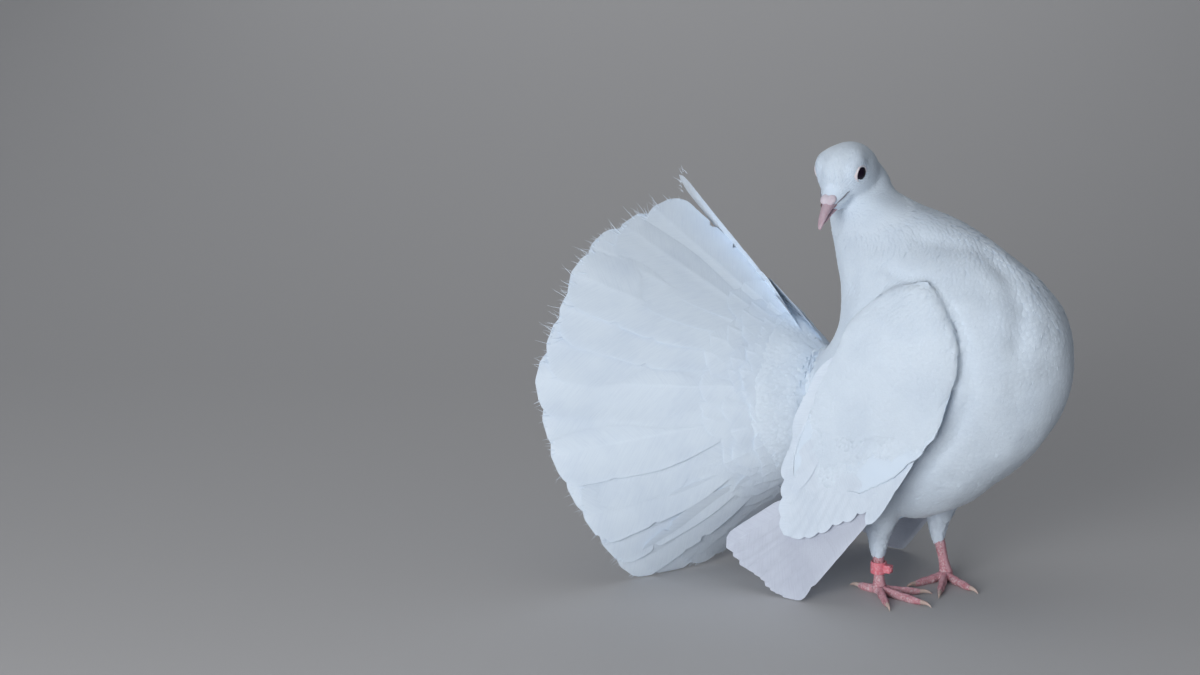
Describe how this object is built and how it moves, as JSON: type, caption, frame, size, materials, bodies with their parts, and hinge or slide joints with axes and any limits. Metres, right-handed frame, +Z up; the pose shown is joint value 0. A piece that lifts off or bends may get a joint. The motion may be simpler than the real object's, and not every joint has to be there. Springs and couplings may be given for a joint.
{
  "type": "fantail pigeon",
  "caption": "Life-size white fantail pigeon standing with its head turned, tail spread in a full upright fan, wings drooped low and a coloured ring on one leg.",
  "frame": {"origin": "middle of the bird's whole footprint, tail included, on the floor that it stands on", "axes": "+X out of the breast, -X towards the tail; +Y to the bird's left side; +Z up. The bill points to -Y."},
  "size_m": [0.2842, 0.2424, 0.251],
  "materials": {
    "plumage": "soft matt white feathers with a cool cast",
    "eye": "wet gloss, almost black",
    "cere": "powdery whitish pink",
    "bill": "satin flesh pink horn",
    "leg_skin": "scaly pinkish red skin",
    "claw": "satin pale horn",
    "ring": "smooth moulded plastic"
  },
  "bodies": {
    "root": {"head": "plumage", "neck": "plumage", "torso": "plumage", "eye_left": "eye", "eye_right": "eye", "bill_upper": "bill", "bill_lower": "bill", "cere": "cere", "tail_middle": "plumage", "tail_right_upper": "plumage", "tail_right_side": "plumage", "tail_right_lower": "plumage", "tail_left_upper": "plumage", "tail_left_side": "plumage", "tail_left_lower": "plumage", "wing_right_arm": "plumage", "wing_right_hand": "plumage", "wing_left_arm": "plumage", "wing_left_hand": "plumage", "shank_right": "plumage", "shank_left": "plumage", "tarsus_right": "leg_skin", "tarsus_left": "leg_skin", "foot_right": "leg_skin", "foot_left": "leg_skin", "claw_right_inner": "claw", "claw_right_middle": "claw", "claw_right_outer": "claw", "claw_right_hind": "claw", "claw_left_inner": "claw", "claw_left_middle": "claw", "claw_left_outer": "claw", "claw_left_hind": "claw", "leg_ring": "ring"}
  },
  "joints": []
}
